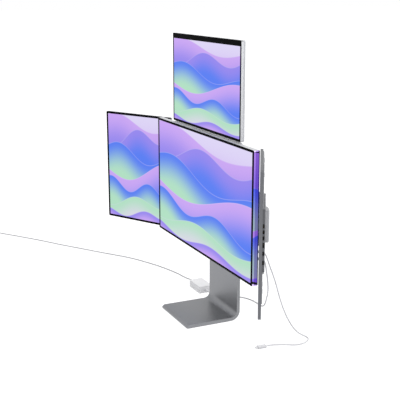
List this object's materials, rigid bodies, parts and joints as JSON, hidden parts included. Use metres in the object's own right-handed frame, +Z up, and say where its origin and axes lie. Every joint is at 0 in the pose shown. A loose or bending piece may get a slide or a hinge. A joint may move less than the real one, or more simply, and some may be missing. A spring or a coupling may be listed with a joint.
{
  "type": "multi-screen laptop extender",
  "caption": "Wide central screen on a bent-sheet stand, hinged screen wings at both sides, a folding screen above, power brick and cords.",
  "frame": {"origin": "on the desk under the middle of the stand's foot in X, in the plane of the central screen's front face in Y, on the underside of the anti-slip sheet", "axes": "+X to the right as seen from the front, +Y to the back, +Z up; the screens face -Y"},
  "size_m": [1.5799, 0.6226, 0.7121],
  "materials": {
    "stand_metal": "fine blasted, satin",
    "pad_rubber": "matte",
    "hinge_metal": "satin",
    "steel": "satin",
    "washer": "low-friction plastic",
    "screen_metal": "blasted faces, polished narrow edges",
    "screen_glass": "gloss",
    "panel": "display panel",
    "housing": "fine matte",
    "board": "matte",
    "socket_steel": "satin",
    "button": "satin",
    "brick": "smooth matte",
    "cord": "smooth, slightly soft",
    "tie": "matte",
    "plug": "smooth matte",
    "pin_metal": "nickel plated",
    "port_metal": "satin",
    "hood": "fine matte"
  },
  "bodies": {
    "stand": {"stand_bracket": "stand_metal", "foot_pad": "pad_rubber", "tilt_base": "hinge_metal", "tilt_pin": "steel", "tilt_nut": "steel", "tilt_washers": "washer", "stand_screws": "steel", "brick_base": "brick", "brick_top": "brick", "brick_glands": "cord", "mains_lead": "cord", "mains_coil": "cord", "coil_tie": "tie", "mains_plug": "plug", "plug_pins": "pin_metal", "dc_lead": "cord", "host_lead": "cord", "host_end_plug": "plug"},
    "centre": {"main_shell": "screen_metal", "main_glass": "screen_glass", "main_lcd": "panel", "rear_housing": "housing", "main_board": "board", "rear_sockets": "socket_steel", "mount_plate": "hinge_metal", "mount_screws": "steel", "right_bracket": "hinge_metal", "left_bracket": "hinge_metal", "right_hinge_pin": "steel", "left_hinge_pin": "steel", "upper_arm": "hinge_metal", "upper_pin": "steel", "dc_plug": "plug", "host_plug": "plug"},
    "upper": {"upper_frame": "screen_metal", "upper_glass": "screen_glass", "upper_lcd": "panel", "upper_cover": "screen_metal", "upper_leaf": "hinge_metal"},
    "right_wing": {"right_wing_frame": "screen_metal", "right_wing_glass": "screen_glass", "right_wing_lcd": "panel", "right_wing_cover": "screen_metal", "right_port_housing": "port_metal", "right_port_board": "socket_steel", "right_wing_pads": "pad_rubber", "right_hinge_leaf": "hinge_metal", "right_hinge_cover": "hood"},
    "left_wing": {"left_wing_frame": "screen_metal", "left_wing_glass": "screen_glass", "left_wing_lcd": "panel", "left_wing_cover": "screen_metal", "left_port_housing": "port_metal", "left_port_board": "socket_steel", "left_wing_pads": "pad_rubber", "left_hinge_leaf": "hinge_metal", "left_hinge_cover": "hood"},
    "centre_key": {"main_button": "button"},
    "right_key": {"right_wing_button": "button"},
    "left_key": {"left_wing_button": "button"}
  },
  "joints": [
    {"name": "tilt", "type": "hinge", "parent": "stand", "child": "centre", "pos_m": [0, 0.048, 0.322], "axis": [-1, 0, 0], "range_deg": [-5, 20], "deforming": ["dc_lead", "host_lead"]},
    {"name": "upper_tilt", "type": "hinge", "parent": "centre", "child": "upper", "pos_m": [0, 0.026, 0.48], "axis": [-1, 0, 0], "range_deg": [-10, 90]},
    {"name": "right_wing_swing", "type": "hinge", "parent": "centre", "child": "right_wing", "pos_m": [0.262, 0.036, 0.31], "axis": [0, 0, 1], "range_deg": [0, 119.2]},
    {"name": "left_wing_swing", "type": "hinge", "parent": "centre", "child": "left_wing", "pos_m": [-0.262, 0.036, 0.31], "axis": [0, 0, -1], "range_deg": [0, 119.2]},
    {"name": "centre_key_press", "type": "slide", "parent": "centre", "child": "centre_key", "axis": [0, 0, 1], "range_m": [0, 0.0008], "stiffness_N_per_m": 600, "springref_m": -0.001},
    {"name": "right_key_press", "type": "slide", "parent": "right_wing", "child": "right_key", "axis": [0, 0, 1], "range_m": [0, 0.0008], "stiffness_N_per_m": 600, "springref_m": -0.001},
    {"name": "left_key_press", "type": "slide", "parent": "left_wing", "child": "left_key", "axis": [0, 0, 1], "range_m": [0, 0.0008], "stiffness_N_per_m": 600, "springref_m": -0.001}
  ]
}
